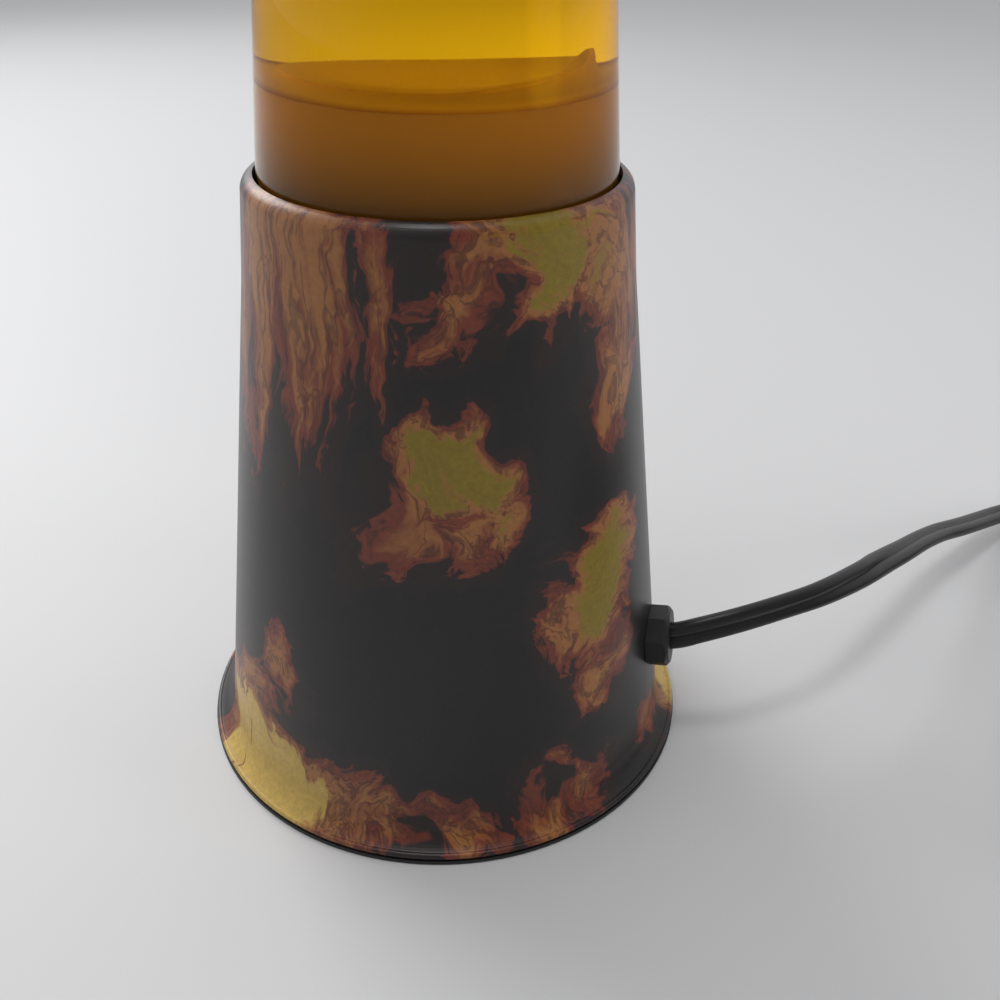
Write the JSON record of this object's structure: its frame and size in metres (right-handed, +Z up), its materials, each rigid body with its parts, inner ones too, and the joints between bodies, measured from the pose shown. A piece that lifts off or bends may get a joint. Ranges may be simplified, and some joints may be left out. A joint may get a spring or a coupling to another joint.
{
  "type": "liquid motion lamp",
  "caption": "Liquid motion lamp with a flame-printed cone base, tapered globe of amber liquid and orange wax, metal cap, and a coiled black cord with rocker switch and plug.",
  "frame": {"origin": "centre of the base's foot, on the table", "axes": "+Z up along the lamp's axis, +X out through the strain relief where the cord leaves the base, +Y to its left seen from above"},
  "size_m": [0.2717, 0.1644, 0.33],
  "materials": {
    "printed_metal": "satin flame-and-embers transfer print on spun metal",
    "grey_metal": "satin grey coating",
    "silicone": "matte translucent silicone",
    "zinc_steel": "bright zinc plate",
    "cover_plastic": "matte black moulding",
    "bushing_plastic": "matte black moulding",
    "phenolic": "dark brown phenolic moulding",
    "brass": "drawn brass",
    "cord_vinyl": "black vinyl jacket with a slight sheen",
    "solder": "dull grey metal",
    "black_glass": "black vitrified insulator",
    "bulb_glass": "thin frosted glass",
    "globe_glass": "clear polished glass",
    "amber_liquid": "clear amber liquid",
    "orange_wax": "settled orange-brown wax",
    "liner_plastic": "soft white liner",
    "tin_plate": "gold lacquer on tin plate",
    "switch_plastic": "semi-gloss black moulding",
    "rocker_plastic": "gloss black moulding",
    "tie_plastic": "matte black strap",
    "plug_vinyl": "matte black vinyl moulding"
  },
  "bodies": {
    "base": {"base_shell": "printed_metal", "globe_seat": "grey_metal", "seat_gasket": "silicone", "shell_lugs": "zinc_steel", "base_cover": "cover_plastic", "cover_screws": "zinc_steel", "strain_relief": "bushing_plastic", "socket_bracket": "zinc_steel", "bracket_screws": "zinc_steel", "socket_screw": "zinc_steel", "socket_body": "phenolic", "socket_shell": "brass", "socket_contact": "brass", "terminal_screws": "brass", "lead_wires": "cord_vinyl", "cord_lead": "cord_vinyl", "switch_lower": "switch_plastic", "switch_upper": "switch_plastic", "switch_screws": "zinc_steel", "cord_tail": "cord_vinyl", "cord_coil": "cord_vinyl", "cord_tie": "tie_plastic", "plug_body": "plug_vinyl", "plug_blades": "brass"},
    "globe": {"globe_bottle": "globe_glass", "liquid": "amber_liquid", "wax": "orange_wax", "heater_coil": "zinc_steel", "crown_liner": "liner_plastic", "crown_cap": "tin_plate"},
    "cap": {"top_cap": "printed_metal"},
    "bulb_riser": {"bulb_tip": "solder"},
    "bulb": {"bulb_insulator": "black_glass", "bulb_cap": "brass", "bulb_glass": "bulb_glass", "bulb_stem": "bulb_glass", "bulb_filament": "solder"},
    "rocker": {"switch_rocker": "rocker_plastic"}
  },
  "joints": [
    {"name": "globe_lift", "type": "slide", "parent": "base", "child": "globe", "axis": [0, 0, 1], "range_m": [0, 0.15]},
    {"name": "cap_lift", "type": "slide", "parent": "globe", "child": "cap", "axis": [0, 0, 1], "range_m": [0, 0.08]},
    {"name": "bulb_rise", "type": "slide", "parent": "base", "child": "bulb_riser", "axis": [0, 0, 1], "range_m": [0, 0.0085]},
    {"name": "bulb_turn", "type": "hinge", "parent": "bulb_riser", "child": "bulb", "pos_m": [0, 0, 0.02115], "axis": [0, 0, 1], "range_deg": [0, 1080]},
    {"name": "switch_rock", "type": "hinge", "parent": "base", "child": "rocker", "pos_m": [0.212, 0.046, 0.012], "axis": [1, 0, 0], "range_deg": [0, 18]}
  ],
  "couplings": [
    {"joint": "bulb_rise", "follows": "bulb_turn", "m_per_rad": 0.00044913}
  ]
}
